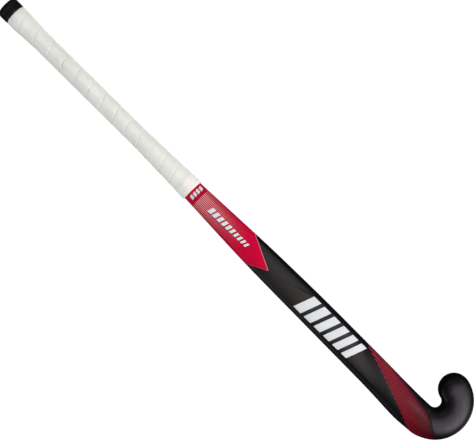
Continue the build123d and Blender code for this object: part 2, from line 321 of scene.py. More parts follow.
def score(bm, start, end):
    """Cut the faces of a mesh along the plane through two (x, z) points and the Y direction."""
    normal = Vector((end[1] - start[1], 0, start[0] - end[0])).normalized()
    parts = bm.verts[:] + bm.edges[:] + bm.faces[:]
    bmesh.ops.bisect_plane(bm, geom=parts, plane_co=(start[0], 0, start[1]), plane_no=normal, dist=1e-7)


def keep_inside(bm, outlines):
    """Keep what lies within any of several outlines given as x and height."""
    shapes = [on_plane(outline) for outline in outlines]
    for shape in shapes:
        for start, end in zip(shape, shape[1:] + shape[:1]):
            score(bm, start, end)
    waste = []
    for face in bm.faces:
        centre = face.calc_center_median()
        if not any(contains(shape, centre.x, centre.z) for shape in shapes):
            waste.append(face)
    bmesh.ops.delete(bm, geom=waste, context="FACES")


def thicken(bm, depth):
    """Turn a sheet into a closed solid by adding its inner side and its rim."""
    bm.normal_update()
    twins = {v: bm.verts.new(v.co - v.normal * depth) for v in bm.verts[:]}
    rim = [edge.verts[:] for edge in bm.edges if len(edge.link_faces) == 1]
    for face in bm.faces[:]:
        bm.faces.new([twins[v] for v in reversed(face.verts)])
    for a, b in rim:
        bm.faces.new((a, b, twins[b], twins[a]))
    bmesh.ops.recalc_face_normals(bm, faces=bm.faces)


def finish_piece(bm, name, material, slot, *nodes, sharp=40.0):
    """Make an object of a mesh, smooth between its sharp edges, riding on the one body."""
    limit = math.radians(sharp)
    for face in bm.faces:
        face.smooth = True
    for edge in bm.edges:
        edge.smooth = len(edge.link_faces) != 2 or edge.calc_face_angle(0.0) < limit
    mesh = bpy.data.meshes.new(name)
    bm.to_mesh(mesh)
    bm.free()
    mesh.materials.append(material)
    piece = bpy.data.objects.new(name, mesh)
    bpy.context.scene.collection.objects.link(piece)
    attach(piece, "root")
    if nodes:
        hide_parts(*nodes)


def finish_film(bm, name, material, slot, *nodes):
    """Close a printed sheet and make its object."""
    thicken(bm, PRINT_WALL * MM)
    finish_piece(bm, name, material, slot, *nodes)


def film(name, low, high, lift, outlines, material, slot, *nodes, back_only=True):
    """Printed film: the stick's surface between two heights, cut to some outlines."""
    bm = skin(low, high, lift, back_only)
    keep_inside(bm, outlines)
    finish_film(bm, name, material, slot, *nodes)


def lathe(profile):
    """Closed solid turned round the handle axis from (radius, height) points that start and end on it."""
    bm = bmesh.new()
    rows = []
    for radius, height in profile:
        z = height - GRIP_MIDDLE
        rows.append([Vector((-radius * math.sin(a), -radius * math.cos(a), z)) * MM for a in turns(False)])
    add_grid(bm, rows)
    weld(bm)
    return bm


# ---- shader helpers
def plug(tree, socket, value):
    """Link a socket to another node's socket, or set it to a value."""
    if isinstance(value, bpy.types.NodeSocket):
        tree.links.new(value, socket)
    else:
        socket.default_value = value


def fill(tree, node, **inputs):
    """Plug values or sockets into a node's inputs, whose names have _ in place of spaces."""
    for key, value in inputs.items():
        plug(tree, node.inputs[key.replace("_", " ")], value)


def add_node(tree, kind, **inputs):
    """New shader node with some of its sockets filled."""
    node = tree.nodes.new("ShaderNode" + kind)
    fill(tree, node, **inputs)
    return node


def new_material(name, **inputs):
    """A Principled material with some of its sockets filled; returns it, its tree and its shader."""
    material = bpy.data.materials.new(name)
    material.use_nodes = True
    tree = material.node_tree
    shader = tree.nodes["Principled BSDF"]
    fill(tree, shader, **inputs)
    return material, tree, shader


def maths(tree, operation, *operands):
    """Output of a Math node; each operand is a socket or a number."""
    node = add_node(tree, "Math")
    node.operation = operation
    for socket, value in zip(node.inputs, operands):
        plug(tree, socket, value)
    return node.outputs[0]


def object_axis(tree, axis):
    """Object coordinate along one axis, in metres."""
    coords = add_node(tree, "TexCoord")
    return add_node(tree, "SeparateXYZ", Vector=coords.outputs["Object"]).outputs[axis]


def between(tree, source, low, high, to_low=0.0, to_high=1.0):
    """A socket moved from one range to another and held inside it."""
    node = add_node(tree, "MapRange", Value=source, From_Min=low, From_Max=high)
    fill(tree, node, To_Min=to_low, To_Max=to_high)
    return node.outputs["Result"]


def by_height(tree, low, high):
    """0 at one height of the stick and 1 at another."""
    return between(tree, object_axis(tree, "Z"), middle_line(low)[1] * MM, middle_line(high)[1] * MM)


def ramp(tree, source, stops):
    """Colour ramp through (position, colour) stops."""
    node = add_node(tree, "ValToRGB", Fac=source)
    elements = node.color_ramp.elements
    while len(elements) < len(stops):
        elements.new(0.5)
    for element, (position, colour) in zip(elements, stops):
        element.position = position
        element.color = (*colour, 1.0)
    return node.outputs["Color"]


def along_stick(tree, low, high, stops):
    """Colour ramp between two heights of the stick."""
    return ramp(tree, by_height(tree, low, high), stops)


def across_stick(tree, low, high, stops):
    """Colour ramp between two places along X."""
    return ramp(tree, between(tree, object_axis(tree, "X"), low * MM, high * MM), stops)


def blend(tree, mode, factor, first, second):
    """Output of a colour Mix node; the factor and the colours are sockets or values."""
    node = add_node(tree, "Mix")
    node.data_type = "RGBA"
    node.blend_type = mode
    for i, value in ((0, factor), (6, first), (7, second)):
        plug(tree, node.inputs[i], (*value, 1.0) if isinstance(value, tuple) else value)
    return node.outputs[2]


def grain(tree, scale, detail=4.0, stretch=(1.0, 1.0, 1.0)):
    """Noise in object space, with its scale per metre."""
    coords = add_node(tree, "TexCoord").outputs["Object"]
    mapped = add_node(tree, "Mapping", Vector=coords, Scale=stretch).outputs["Vector"]
    return add_node(tree, "TexNoise", Vector=mapped, Scale=scale, Detail=detail).outputs["Fac"]


def lines(tree, pitch, angle):
    """Even lines across the back, 0 to 1, whose direction leans by an angle (degrees) from level."""
    lean = math.radians(angle)
    x = maths(tree, "MULTIPLY", object_axis(tree, "X"), -math.sin(lean) * math.tau / (pitch * MM))
    z = maths(tree, "MULTIPLY", object_axis(tree, "Z"), math.cos(lean) * math.tau / (pitch * MM))
    wave = maths(tree, "SINE", maths(tree, "ADD", x, z))
    return between(tree, wave, -1.0, 1.0)


def bump(tree, shader, source, distance, strength=1.0, below=None):
    """Bump a shader by a source whose height is in metres, over another bump if one is given."""
    node = add_node(tree, "Bump", Strength=strength, Distance=distance, Height=source)
    if below is not None:
        fill(tree, node, Normal=below.outputs["Normal"])
    fill(tree, shader, Normal=node.outputs["Normal"])
    return node


def rough(tree, shader, source, low, high):
    """Vary a shader's roughness by a source."""
    fill(tree, shader, Roughness=between(tree, source, 0.3, 0.7, low, high))


def twill(tree, tow):
    """Height and direction (0 or 1) of a 2/2 twill weave in the UV map, with its tow width in metres."""
    split = add_node(tree, "SeparateXYZ", Vector=add_node(tree, "UVMap").outputs["UV"])
    u = maths(tree, "DIVIDE", split.outputs["X"], tow)
    v = maths(tree, "DIVIDE", split.outputs["Y"], tow)
    cell = maths(tree, "ADD", maths(tree, "FLOOR", u), maths(tree, "FLOOR", v))
    on_top = maths(tree, "LESS_THAN", maths(tree, "FLOORED_MODULO", cell, 4.0), 1.5)
    rest = maths(tree, "SUBTRACT", 1.0, on_top)
    crowns = []
    for side, share in ((u, on_top), (v, rest)):
        crown = maths(tree, "SINE", maths(tree, "MULTIPLY", maths(tree, "FRACT", side), math.pi))
        crowns.append(maths(tree, "MULTIPLY", crown, share))
    return maths(tree, "ADD", *crowns), on_top


# ---- materials
CARBON_DARK = (0.0008, 0.0006, 0.0009)
CARBON_LIGHT = (0.0016, 0.0013, 0.0017)
CARBON_TOP_TOW = (0.0036, 0.0032, 0.0038)
TOW_WIDTH = 0.0022  # metres
RED = (0.455, 0.0010, 0.029)
RED_LIGHT = (0.505, 0.0016, 0.034)
LABEL_RED = (0.37, 0.0024, 0.024)
LABEL_RED_LIGHT = (0.41, 0.0032, 0.028)


def grey(value):
    """Neutral colour."""
    return (value, value, value)


def cloudy(tree, scale, low, high):
    """Colour that drifts softly between two."""
    return ramp(tree, grain(tree, scale), ((0.3, low), (0.7, high)))


def times(tree, first, second):
    """Product of two colours."""
    return blend(tree, "MULTIPLY", 1.0, first, second)


def lacquer(tree, shader, low, high, below=None):
    """Satin lacquer: roughness that drifts between two values, and a very fine grain."""
    rough(tree, shader, grain(tree, 260.0), low, high)
    bump(tree, shader, grain(tree, 1500.0, 2.0), 0.00001, below=below)


def mottled(name, low, high, roughness, scale, height):
    """Material between two colours with fine relief, for moulded, foamed and laminated pieces."""
    material, tree, shader = new_material(name)
    spots = grain(tree, scale)
    fill(tree, shader, Base_Color=ramp(tree, spots, ((0.3, low), (0.7, high))))
    rough(tree, shader, spots, roughness - 0.06, roughness + 0.06)
    bump(tree, shader, spots, height)
    return material


def lacquered_carbon():
    """Black twill laminate under satin lacquer, its tows just showing."""
    material, tree, shader = new_material("lacquered_carbon", Specular_IOR_Level=0.45)
    fill(tree, shader, Specular_Tint=(1.0, 0.92, 1.04, 1.0))
    height, on_top = twill(tree, TOW_WIDTH)
    shade = cloudy(tree, 30.0, CARBON_DARK, CARBON_LIGHT)
    warp = maths(tree, "MULTIPLY", on_top, 0.3)
    fill(tree, shader, Base_Color=blend(tree, "MIX", warp, shade, CARBON_TOP_TOW))
    weave = bump(tree, shader, height, 0.000012)
    lacquer(tree, shader, 0.34, 0.42, below=weave)
    return material


def cap_rubber():
    """Black moulded rubber with a fine stipple."""
    material, tree, shader = new_material("cap_rubber", Specular_IOR_Level=0.4)
    tone = cloudy(tree, 90.0, (0.0045, 0.0040, 0.0040), (0.0075, 0.0068, 0.0066))
    fill(tree, shader, Base_Color=tone)
    stipple = grain(tree, 1700.0, 2.0)
    rough(tree, shader, stipple, 0.42, 0.58)
    bump(tree, shader, stipple, 0.00005)
    return material


def cushion():
    """Pale cushioned wrap: leather-like grain, pores and faint handling marks."""
    material, tree, shader = new_material(
        "grip_cushion", Specular_IOR_Level=0.3, Sheen_Weight=0.1, Sheen_Roughness=0.5
    )
    marks = grain(tree, 24.0, 6.0)
    worn, plain, clean = (0.74, 0.735, 0.69), (0.80, 0.80, 0.765), (0.83, 0.83, 0.80)
    tone = ramp(tree, marks, ((0.25, worn), (0.6, plain), (0.9, clean)))
    fill(tree, shader, Base_Color=tone)
    rough(tree, shader, marks, 0.56, 0.7)
    creases = bump(tree, shader, grain(tree, 240.0, 5.0), 0.0003, strength=0.5)
    coords = add_node(tree, "TexCoord").outputs["Object"]
    pores = add_node(tree, "TexVoronoi", Vector=coords, Scale=1200.0)
    bump(tree, shader, pores.outputs["Distance"], 0.00006, below=creases)
    return material


def cloth_tape():
    """Pale finishing tape: fine threads, and a tint across it, greyer on the heel side, faintly pink in the
    middle and palest on the toe side.
    """
    material, tree, shader = new_material("cloth_tape", Specular_IOR_Level=0.3)
    heel, pink, toe = (0.80, 0.83, 0.79), (0.84, 0.78, 0.76), (0.90, 0.91, 0.86)
    tint = across_stick(tree, -16.0, 16.0, ((0.0, heel), (0.5, pink), (1.0, toe)))
    patches = grain(tree, 80.0, stretch=(1, 1, 3))
    cloud = ramp(tree, patches, ((0.35, (0.96, 0.94, 0.94)), (0.6, (1, 1, 1))))
    fill(tree, shader, Base_Color=times(tree, tint, cloud))
    rough(tree, shader, grain(tree, 400.0), 0.5, 0.65)
    threads = bump(tree, shader, lines(tree, pitch=0.5, angle=2.0), 0.00004)
    bump(tree, shader, grain(tree, 900.0, 3.0), 0.00004, below=threads)
    return material


def printed(name, colour, shine=0.4):
    """Ink film under satin lacquer; colour is a function of the node tree."""
    material, tree, shader = new_material(name, Specular_IOR_Level=shine)
    fill(tree, shader, Base_Color=colour(tree))
    lacquer(tree, shader, 0.36, 0.44)
    return material


def panel_red(tree):
    """Even red with a slight cloudiness, deeper behind the pinstripes."""
    tone = cloudy(tree, 40.0, RED, RED_LIGHT)
    stops = ((0.0, grey(1.0)), (0.35, (0.82, 0.78, 0.8)), (1.0, (0.60, 0.4, 0.45)))
    return times(tree, tone, along_stick(tree, PINSTRIPE_BOTTOM + 4.0, 515.0, stops))


def label_red(tree):
    """Deeper red of the label band."""
    return cloudy(tree, 40.0, LABEL_RED, LABEL_RED_LIGHT)


def pinstripe_pink(tree):
    """Pale lines that sink into the red further down and in the middle of the back."""
    tone = along_stick(
        tree, PINSTRIPE_BOTTOM + 2.0, 515.0,
        (
            (0.0, (0.49, 0.004, 0.032)), (0.3, (0.52, 0.06, 0.09)),
            (0.7, (0.70, 0.26, 0.28)), (1.0, (0.86, 0.42, 0.44)),
        ),
    )
    sunk = across_stick(
        tree, -18.0, 18.0,
        ((0.0, grey(0.72)), (0.22, grey(0.1)), (0.7, grey(0.0)), (0.85, grey(0.62)), (1.0, grey(0.9))),
    )
    return blend(tree, "MIX", sunk, tone, (0.50, 0.004, 0.032))


def edge_line_and_highlight(tree):
    """Line along the panel's point, printed, with a painted highlight that makes it pale on the toe side
    and fading to dark red on the heel side.
    """
    return across_stick(
        tree, -26.0, 20.0,
        (
            (0.0, (0.16, 0.010, 0.018)), (0.38, (0.30, 0.045, 0.058)),
            (0.47, (0.55, 0.20, 0.22)), (1.0, (0.44, 0.14, 0.155)),
        ),
    )


def toe_facet(tree):
    """Smooth charcoal print with a painted highlight across its middle, which falls off to darker at both
    sides and most towards the toe side.
    """
    heel, middle, toe = (0.019, 0.016, 0.017), (0.026, 0.023, 0.024), (0.014, 0.012, 0.013)
    return across_stick(tree, -6.0, 16.0, ((0.0, heel), (0.6, middle), (1.0, toe)))


STRIPE_SHADE = (22.0, 62.0)  # heights above the stripes between which the facet comes out of the black


def heel_facet(tree):
    """Brown-black with fine slanting lines, lightest by the crease, and sinking to black by the stripes."""
    tone = along_stick(
        tree, 120.0, 400.0,
        (
            (0.0, (0.016, 0.013, 0.014)), (0.12, (0.032, 0.027, 0.028)),
            (0.27, (0.036, 0.030, 0.030)), (0.5, (0.020, 0.017, 0.017)),
            (0.66, (0.029, 0.025, 0.023)), (0.76, (0.027, 0.023, 0.022)),
            (0.88, (0.026, 0.022, 0.022)), (1.0, (0.007, 0.006, 0.006)),
        ),
    )
    stops = ((0.0, (0.55, 0.55, 0.56)), (0.5, grey(0.95)), (1.0, (1.4, 1.38, 1.36)))
    across = across_stick(tree, -17.0, 12.0, stops)
    hatch = ramp(tree, lines(tree, pitch=3.2, angle=32.0), ((0.2, (0.70, 0.68, 0.68)), (0.8, grey(1.0))))
    line = maths(tree, "MULTIPLY", object_axis(tree, "X"), STRIPE_SLOPE)
    clear = maths(tree, "SUBTRACT", object_axis(tree, "Z"), line)
    foot = middle_line(STRIPE_START_HEIGHT)[1]
    shade = between(tree, clear, (foot + STRIPE_SHADE[0]) * MM, (foot + STRIPE_SHADE[1]) * MM)
    lit = times(tree, times(tree, tone, across), hatch)
    return blend(tree, "MIX", shade, (0.0035, 0.0028, 0.0033), lit)


STRIPE_FADE = 7.0  # over which the stripes sink into the black, measured along X


def stripe_fade(tree):
    """1 within the stripes, falling to 0 at their curved lower end."""
    (left, bottom), (right, top) = STRIPE_END[0], STRIPE_END[-1]
    span, rise = right - left, top - bottom
    stops = [((height - bottom) / rise, grey((x - left) / span)) for x, height in STRIPE_END]
    edge = ramp(tree, by_height(tree, bottom, top), stops)
    x = object_axis(tree, "X")
    place = between(tree, x, left * MM, right * MM)
    below = between(tree, x, (left - STRIPE_FADE) * MM, left * MM, -STRIPE_FADE / span, 0.0)
    gap = maths(tree, "SUBTRACT", edge, maths(tree, "ADD", place, below))
    return between(tree, gap, 0.0, STRIPE_FADE / span)


def stripe_dark(tree):
    """Dark red ground of the stripes, black towards the head."""
    heel, middle, toe = (0.045, 0.0010, 0.005), (0.028, 0.0008, 0.0035), (0.036, 0.0007, 0.0035)
    tone = across_stick(tree, -28.0, 22.0, ((0.0, heel), (0.4, middle), (1.0, toe)))
    return blend(tree, "MIX", stripe_fade(tree), (0.003, 0.002, 0.003), tone)


def stripe_light(tree):
    """Light red lines that dim towards the head, with a painted pink-grey reflection of the lacquer's sheen
    across them low on the head.
    """
    tone = along_stick(
        tree, 20.0, 190.0,
        (
            (0.0, (0.02, 0.001, 0.003)), (0.2, (0.10, 0.005, 0.010)),
            (0.5, (0.25, 0.017, 0.034)), (1.0, (0.34, 0.026, 0.052)),
        ),
    )
    toe = (2.2, 2.4, 2.4)
    upper = across_stick(
        tree, -30.0, 22.0,
        ((0.0, (1.3, 0.6, 0.7)), (0.5, (1.05, 0.6, 0.7)), (0.77, grey(0.9)), (0.86, grey(1.1)), (1.0, toe)),
    )
    # Painted reflection: this ramp's pink-grey band across the lines low on the head stands in for the
    # sheen mirrored there.
    lower = across_stick(
        tree, -30.0, 22.0,
        (
            (0.0, (2.0, 0.9, 1.1)), (0.5, (1.0, 0.35, 0.5)),
            (0.64, (1.3, 4.0, 3.2)), (0.8, (1.0, 1.8, 1.6)),
            (1.0, toe),
        ),
    )
    across = blend(tree, "MIX", by_height(tree, 68.0, 98.0), lower, upper)
    return blend(tree, "MIX", stripe_fade(tree), (0.005, 0.003, 0.004), times(tree, tone, across))


def silver(tree):
    """Pale print with a faint woven texture."""
    threads = [
        ramp(tree, lines(tree, pitch=1.8, angle=angle), ((0.0, grey(0.9)), (1.0, grey(1.0))))
        for angle in (0.0, 90.0)
    ]
    weave = blend(tree, "MULTIPLY", 0.5, *threads)
    return times(tree, cloudy(tree, 50.0, (0.65, 0.665, 0.69), (0.71, 0.725, 0.75)), weave)


def dark_ink(tree):
    """Near-black ink round the pale marks."""
    return cloudy(tree, 60.0, grey(0.004), (0.007, 0.006, 0.006))


def shadow_ink(tree):
    """Deep red under the small marks."""
    return cloudy(tree, 60.0, (0.16, 0.002, 0.010), (0.20, 0.003, 0.013))


# ---- outlines
def panel_edge(x):
    """Height of the panel's pointed lower edge at an x."""
    tip_x, tip_height = PANEL_TIP
    slope = PANEL_SLOPE_TOE if x > tip_x else PANEL_SLOPE_HEEL
    return tip_height + abs(x - tip_x) * slope


def panel_outline(lower=0.0):
    """The upper panel, with its pointed lower edge moved down by lower."""
    points = [(-EDGE_X, LABEL_BOTTOM), (EDGE_X, LABEL_BOTTOM)]
    return points + [(x, panel_edge(x) - lower) for x in (EDGE_X, PANEL_TIP[0], -EDGE_X)]


def stripe_start(x):
    """Height at which the lower stripes begin, along an edge that sags a little in its middle."""
    sag = STRIPE_SAG * max(1.0 - (x / STRIPE_SAG_REACH) ** 2, 0.0)
    return STRIPE_START_HEIGHT + x * STRIPE_SLOPE - sag


def stripe_edge(left, right, above=0.0):
    """Points along the start of the stripes, from right to left."""
    reach = STRIPE_SAG_REACH
    inner = [x for x in range(reach, -reach - 1, -STRIPE_EDGE_STEP) if left < x < right]
    return [(x, stripe_start(x) + above) for x in (right, *inner, left)]


def smooth_step(p, q, r, s, t):
    """Value at a share t of the way from q to r, on a smooth curve that also heads past p and s."""
    square = 2 * p - 5 * q + 4 * r - s
    cube = 3 * q - p - 3 * r + s
    return (2 * q + (r - p) * t + square * t * t + cube * t ** 3) / 2


def smooth_curve(points, steps=4):
    """Points of a smooth curve through others."""
    found = []
    padded = (points[0], *points, points[-1])
    for near in zip(padded, padded[1:], padded[2:], padded[3:]):
        for i in range(steps):
            found.append(tuple(smooth_step(*values, i / steps) for values in zip(*near)))
    return found + [points[-1]]


def stripe_outline():
    """The striped area, whose lower end is a curve through STRIPE_END."""
    corner = (EDGE_X, STRIPE_END[-1][1])
    upper = stripe_edge(-EDGE_X, EDGE_X)
    return [*smooth_curve(STRIPE_END), corner, *upper, (-EDGE_X, STRIPE_FLOOR)]


def bars(count, centre_x, width, top, depth, gap, shrink, narrow, rise):
    """Outlines of a column of slanted bars, each shorter and narrower than the one above."""
    found = []
    for _ in range(count):
        half = width / 2
        found.append(
            [
                (centre_x - half, top - rise),
                (centre_x + half, top),
                (centre_x + half, top - depth),
                (centre_x - half, top - rise - depth),
            ]
        )
        top -= depth + gap
        depth *= shrink
        width *= narrow
    return found


def grown(outline, amount):
    """Outline of a slanted bar with every side moved out by an amount."""
    (left, left_top), (right, right_top), (_, right_foot), (_, left_foot) = outline
    slope = (right_top - left_top) / (right - left)
    lean = slope * amount
    reach = math.hypot(1.0, slope) * amount
    return [
        (left - amount, left_top - lean + reach),
        (right + amount, right_top + lean + reach),
        (right + amount, right_foot + lean - reach),
        (left - amount, left_foot - lean - reach),
    ]


def moved(outline, x, height):
    """An outline moved across and along the stick."""
    return [(a + x, b + height) for a, b in outline]


def small_marks():
    """Outlines of the small bars on the panel and the label."""
    outlines = bars(**PANEL_MARK)
    for centre_x in LABEL_MARK_CENTRES:
        outlines += bars(centre_x=centre_x, **LABEL_MARK)
    return outlines


# ---- pieces
def stick_body():
    """The whole lacquered outside, from the round toe to the top of the handle."""
    bm = bmesh.new()
    half = [math.tau * i / ROUND for i in range(ROUND // 2 + 1)]
    steps = [math.pi * i / (ROUND // 2) for i in range(ROUND // 2, -1, -1)]
    end = add_grid(bm, [[toe_point(step, 0.0, turn) for turn in half] for step in steps])
    add_grid(bm, stick_rows(BEND_OUTER, HANDLE_TOP, 0.0, turns(False), BEND_END), end)
    bmesh.ops.remove_doubles(bm, verts=bm.verts, dist=1e-6)
    rim = [edge for edge in bm.edges if len(edge.link_faces) == 1]
    bmesh.ops.contextual_create(bm, geom=rim)
    bmesh.ops.recalc_face_normals(bm, faces=bm.faces)
    finish_piece(bm, "stick_body", lacquered_carbon(), "carbon_laminate", "carbon_shell")


CAP_RADIUS = 17.3
CAP_EDGE = 5.0  # radius of the rounded rim
CAP_DIMPLE = 0.5
CAP_DIMPLE_RADIUS = 8.5
CAP_STEPS = 12
DIMPLE_STEPS = 8
PARTING_LINE = ((0.0, 919.4), (0.14, 919.1), (0.0, 918.8))  # inset and height round a fine groove,
CAP_LIP = ((0.0, 911.0), (0.25, 910.2), (0.7, 909.6), (1.6, 909.5))  # and round the lower lip
SEAT = 0.4
SKIRT_RISE = 2.2
SKIRT_INSET = 0.05  # clearance under the wrap,
HANDLE_GAP = 0.02  # round the handle,
HANDLE_END_GAP = 0.1  # and above its top
WRAP_WALL = 1.6


def seat(height):
    """How far the cap's skirt and the underlay stand off the handle."""
    return SEAT + SKIRT_RISE * ease(SKIRT_BOTTOM, SKIRT_FULL, height)


def end_cap():
    """Moulded rubber cap: dimpled end, rounded rim, fine parting line, and the skirt under the wrap."""
    profile = [(0.0, CAP_TOP - CAP_DIMPLE)]
    for i in range(1, DIMPLE_STEPS + 1):
        share = i / DIMPLE_STEPS
        profile.append((CAP_DIMPLE_RADIUS * share, CAP_TOP - CAP_DIMPLE * (1 - ease(0.6, 1.0, share))))
    inner = CAP_RADIUS - CAP_EDGE
    for i in range(CAP_STEPS + 1):
        turn = math.pi / 2 * i / CAP_STEPS
        profile.append((inner + CAP_EDGE * math.sin(turn), CAP_TOP - CAP_EDGE * (1 - math.cos(turn))))
    profile += [(CAP_RADIUS - inset, height) for inset, height in PARTING_LINE + CAP_LIP]
    for i in range(CAP_STEPS + 1):
        height = GRIP_TOP - (GRIP_TOP - SKIRT_BOTTOM) * i / CAP_STEPS
        profile.append((HANDLE_RADIUS + seat(height) - SKIRT_INSET, height))
    bore, roof = HANDLE_RADIUS + HANDLE_GAP, HANDLE_TOP + HANDLE_END_GAP
    profile += [(bore, SKIRT_BOTTOM), (bore, roof), (0.0, roof)]
    finish_piece(lathe(profile), "butt_cap", cap_rubber(), "cap_rubber", "end_cap")


# Spiral of the wrap: the height of its seam on the -X side is a quadratic of the number of turns
SEAM_HEIGHT = 718.0
SEAM_PITCH = 26.38
SEAM_SPREAD = 0.264
QUARTER_TURN = 0.25  # from the back, where each round starts, to the -X side
FIRST_TURN = -9
LAST_TURN = 8
SPARE_STRIP = 6.0  # how far the wound strip runs past the grip's ends before it is cut off
UV_RADIUS = 15.0
GRIP_RADIUS = 14.9
STRIP_BASE = 1.38  # thickness of a single layer
STRIP_LIP = 0.26  # more where the strip lies over the turn below
LIP_UNEVENNESS = 0.2
CREASE_DEPTH = 0.5
FOLD_LEAN = math.radians(34.0)  # rise of the small folds towards +X on the back
FOLD_WIDTH = 3.4
FOLD_LENGTH = 16.0
FOLD_HEIGHT = 0.09
SEAM_FOLD_HEIGHT = 0.13  # more beside the seam
SWELL_HEIGHT = 0.10
END_ROUNDING = 1.3
END_DROP = 0.8

# Places across the strip, as shares of its pitch from one seam to the next
LIP_RISE = 0.03  # end of the step up to the double layer
LAP_FADE = (0.10, 0.60)  # where the double layer thins out to a single one
CREASE_END = 0.012  # the crease goes on this far past a seam,
CREASE_START = 0.965  # and starts again here
SEAM_REACH = (0.03, 0.36)  # how near the seam the folds are stronger
STRIP_ROWS = (
    0.0, 0.008, 0.018, 0.03, 0.045, 0.065, 0.10, 0.15, 0.20, 0.26, 0.32, 0.38,
    0.44, 0.50, 0.56, 0.62, 0.68, 0.74, 0.80, 0.85, 0.90, 0.94, 0.97, 0.985,
)


def seam_height(count):
    """Height of the seam after a number of turns from its reference."""
    return SEAM_HEIGHT + SEAM_PITCH * count + SEAM_SPREAD * count * count


def wrap_lift(count, turn, height):
    """Outside of the wrap off the handle, at a number of turns and a direction round the handle."""
    across = count % 1.0
    layers = ease(0.0, LIP_RISE, across) * (1 - ease(*LAP_FADE, across))
    crease = CREASE_DEPTH * max(ease(CREASE_START, 1.0, across), 1 - ease(0.0, CREASE_END, across))
    along = -(turn - math.tau * math.floor(count)) * GRIP_RADIUS
    fold_place = (height * math.cos(FOLD_LEAN) - along * math.sin(FOLD_LEAN)) / FOLD_WIDTH
    fold_run = (height * math.sin(FOLD_LEAN) + along * math.cos(FOLD_LEAN)) / FOLD_LENGTH
    near_seam = 1 - ease(*SEAM_REACH, min(across, 1 - across))

    # Noise over patches of these sizes; a lone number only picks another part of the noise
    uneven = noise.noise(Vector((along / 12, 4.0, 0.0)))
    gathered = 0.6 + 0.8 * max(0.0, noise.noise(Vector((along / 22, height / 22, 9.0))))
    wide = noise.noise(Vector((fold_place, fold_run, 0.0)))
    narrow = noise.noise(Vector((fold_place * 2.3, fold_run * 1.7, 2.0)))
    swell = SWELL_HEIGHT * noise.noise(Vector((along / 17, height / 9, 5.0)))

    lip = STRIP_LIP * (1 + LIP_UNEVENNESS * uneven)
    folds = (FOLD_HEIGHT + SEAM_FOLD_HEIGHT * near_seam) * gathered * (wide + 0.6 * narrow)
    ends = max(GRIP_BOTTOM + END_ROUNDING - height, height - GRIP_TOP + END_ROUNDING, 0.0) / END_ROUNDING
    rounding = END_DROP * (1 - math.sqrt(max(1 - ends * ends, 0.0)))
    return seat(height) + STRIP_BASE + lip * layers - crease + folds + swell - rounding


def grip_spiral():
    """Cushioned strip wound round the handle, each turn lapping over the one below it."""
    bm = bmesh.new()
    uv = bm.loops.layers.uv.verify()
    counts = [k + share for k in range(FIRST_TURN, LAST_TURN) for share in STRIP_ROWS]
    columns = []
    for i in range(ROUND):
        turn = math.tau * i / ROUND
        column = []
        for count in counts:
            height = seam_height(count - turn / math.tau + QUARTER_TURN)
            point = shaft_point(height, wrap_lift(count, turn, height), turn)
            column.append((bm.verts.new(point), height))
        columns.append(column)
    per_turn = len(STRIP_ROWS)
    low, high = GRIP_BOTTOM - SPARE_STRIP, GRIP_TOP + SPARE_STRIP
    for i in range(ROUND):
        # Where a round closes, each row meets the one that is a turn further down the strip
        shift = per_turn if i == ROUND - 1 else 0
        following = columns[(i + 1) % ROUND]
        for j in range(shift, len(counts) - 1):
            corners = (columns[i][j], following[j - shift], following[j + 1 - shift], columns[i][j + 1])
            if min(c[1] for c in corners) < low or max(c[1] for c in corners) > high:
                continue
            face = bm.faces.new([c[0] for c in corners])
            sides = (i, i + 1, i + 1, i)
            for loop, side, corner in zip(face.loops, sides, corners):
                loop[uv].uv = (side / ROUND * math.tau * UV_RADIUS * MM, corner[1] * MM)
    loose = [v for v in bm.verts if not v.link_faces]
    bmesh.ops.delete(bm, geom=loose, context="VERTS")
    for height, direction in ((GRIP_BOTTOM, -1), (GRIP_TOP, 1)):
        parts = bm.verts[:] + bm.edges[:] + bm.faces[:]
        level = (0, 0, (height - GRIP_MIDDLE) * MM)
        bmesh.ops.bisect_plane(
            bm, geom=parts, plane_co=level, plane_no=(0, 0, direction), clear_outer=True, dist=1e-6
        )
    close_sleeve(bm)
    finish_piece(bm, "grip_spiral", cushion(), "grip_cushion", "grip_wrap", sharp=60.0)


SLEEVE_ROWS = 24
SLEEVE_ROUND = 64


def close_sleeve(bm):
    """Add the inner wall of the wrap and the two flat ends that join it to the outside."""
    outer_rims = [edge for edge in bm.edges if len(edge.link_faces) == 1]
    rims = {low: [e for e in outer_rims if (e.verts[0].co.z < 0) == low] for low in (True, False)}
    rows = []
    for k in range(SLEEVE_ROWS + 1):
        height = GRIP_BOTTOM + (GRIP_TOP - GRIP_BOTTOM) * k / SLEEVE_ROWS
        around = [math.tau * i / SLEEVE_ROUND for i in range(SLEEVE_ROUND)]
        points = [shaft_point(height, seat(height) + HANDLE_GAP, turn) for turn in around]
        rows.append([bm.verts.new(point) for point in points])
    for low_row, high_row in zip(rows, rows[1:]):
        for i in range(SLEEVE_ROUND):
            j = (i + 1) % SLEEVE_ROUND
            bm.faces.new((low_row[i], high_row[i], high_row[j], low_row[j]))
    for row, low in ((rows[0], True), (rows[-1], False)):
        inner = [bm.edges.get((row[i], row[i - 1])) for i in range(len(row))]
        bmesh.ops.triangle_fill(bm, edges=rims[low] + inner, use_beauty=True, use_dissolve=False)
    bmesh.ops.recalc_face_normals(bm, faces=bm.faces)


TAPE_WALL = 0.25
TAPE_LOWER_EDGE = ((0.0, 0.9), (0.15, 0.4), (0.6, 0.08), (1.2, 0.0))  # distance from the edge, and inset
TAPE_UPPER_EDGE = ((0.3, 0.12), (0.0, 0.4), (0.0, 0.9))
TAPE_EVEN = (1.8, 0.9)  # distances from both edges between which the tape has its full thickness
TAPE_ROWS = 22
TAPE_PITCH = 7.2  # height that a turn gains
TAPE_LAP = 0.16  # more where a turn lies over the one below
TAPE_CRUMPLE = 0.09
TAPE_SWAY = 0.9  # how far the turns lean up and down
TAPE_SWAY_TURN = 0.6
TAPE_EDGE_SWAY = 0.35


